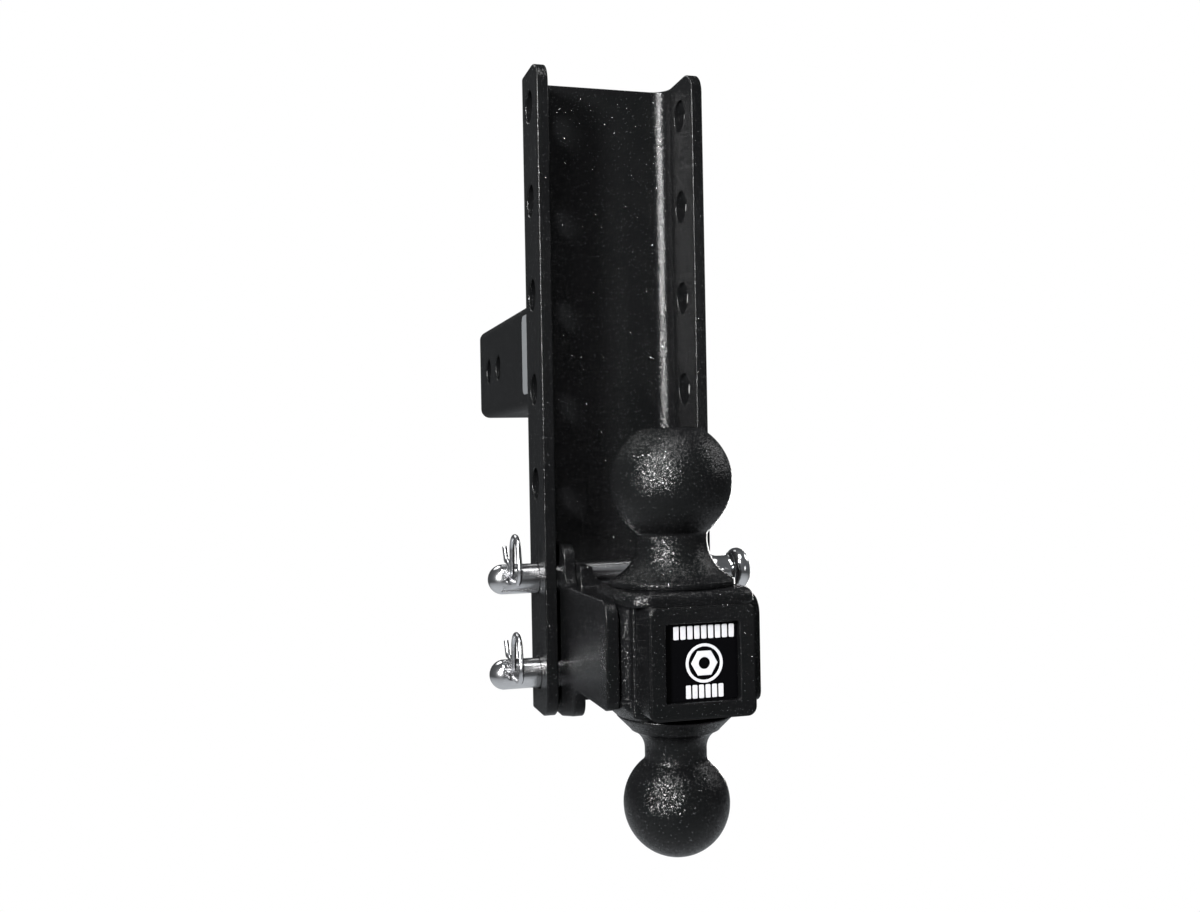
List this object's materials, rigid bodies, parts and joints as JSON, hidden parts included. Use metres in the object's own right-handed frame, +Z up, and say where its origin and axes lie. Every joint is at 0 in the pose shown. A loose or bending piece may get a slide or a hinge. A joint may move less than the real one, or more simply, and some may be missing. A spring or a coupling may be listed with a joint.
{
  "type": "adjustable ball hitch",
  "caption": "Tall drilled channel on a square shank, with a two-ball mount hung between its flanges on clipped cross pins.",
  "frame": {"origin": "on the shank's axis, at the centre of the receiver pin hole nearest the channel", "axes": "+X along the pins towards their heads, +Y along the shank towards the vehicle, +Z up"},
  "size_m": [0.1481, 0.3701, 0.3992],
  "materials": {
    "powder_coat": "black textured powder coat with fine sparkle, over steel",
    "steel": "bright stainless, lightly turned",
    "panel": "glossy black",
    "mark": "silver-white print",
    "label": "satin light grey film"
  },
  "bodies": {
    "drawbar": {"channel": "powder_coat", "shank": "powder_coat", "shank_weld": "powder_coat", "rating_label": "label", "ear_left": "powder_coat", "ear_right": "powder_coat", "ear_weld_left": "powder_coat", "ear_weld_right": "powder_coat", "mount_block": "powder_coat", "upper_shoulder": "powder_coat", "lower_shoulder": "powder_coat", "face_frame": "powder_coat", "emblem_panel": "panel", "emblem_ring": "mark", "emblem_core": "mark", "emblem_dashes_top": "mark", "emblem_dashes_bottom": "mark", "upper_ball": "powder_coat", "lower_ball": "powder_coat"},
    "upper_pin": {"upper_pin": "steel"},
    "lower_pin": {"lower_pin": "steel"},
    "upper_clip": {"upper_clip": "steel"},
    "lower_clip": {"lower_clip": "steel"}
  },
  "joints": [
    {"name": "upper_pin_slide", "type": "slide", "parent": "drawbar", "child": "upper_pin", "axis": [1, 0, 0], "range_m": [0, 0.014]},
    {"name": "lower_pin_slide", "type": "slide", "parent": "drawbar", "child": "lower_pin", "axis": [1, 0, 0], "range_m": [0, 0.014]},
    {"name": "upper_clip_pull", "type": "slide", "parent": "upper_pin", "child": "upper_clip", "axis": [0, -1, 0], "range_m": [0, 0.03]},
    {"name": "lower_clip_pull", "type": "slide", "parent": "lower_pin", "child": "lower_clip", "axis": [0, -1, 0], "range_m": [0, 0.03]}
  ]
}
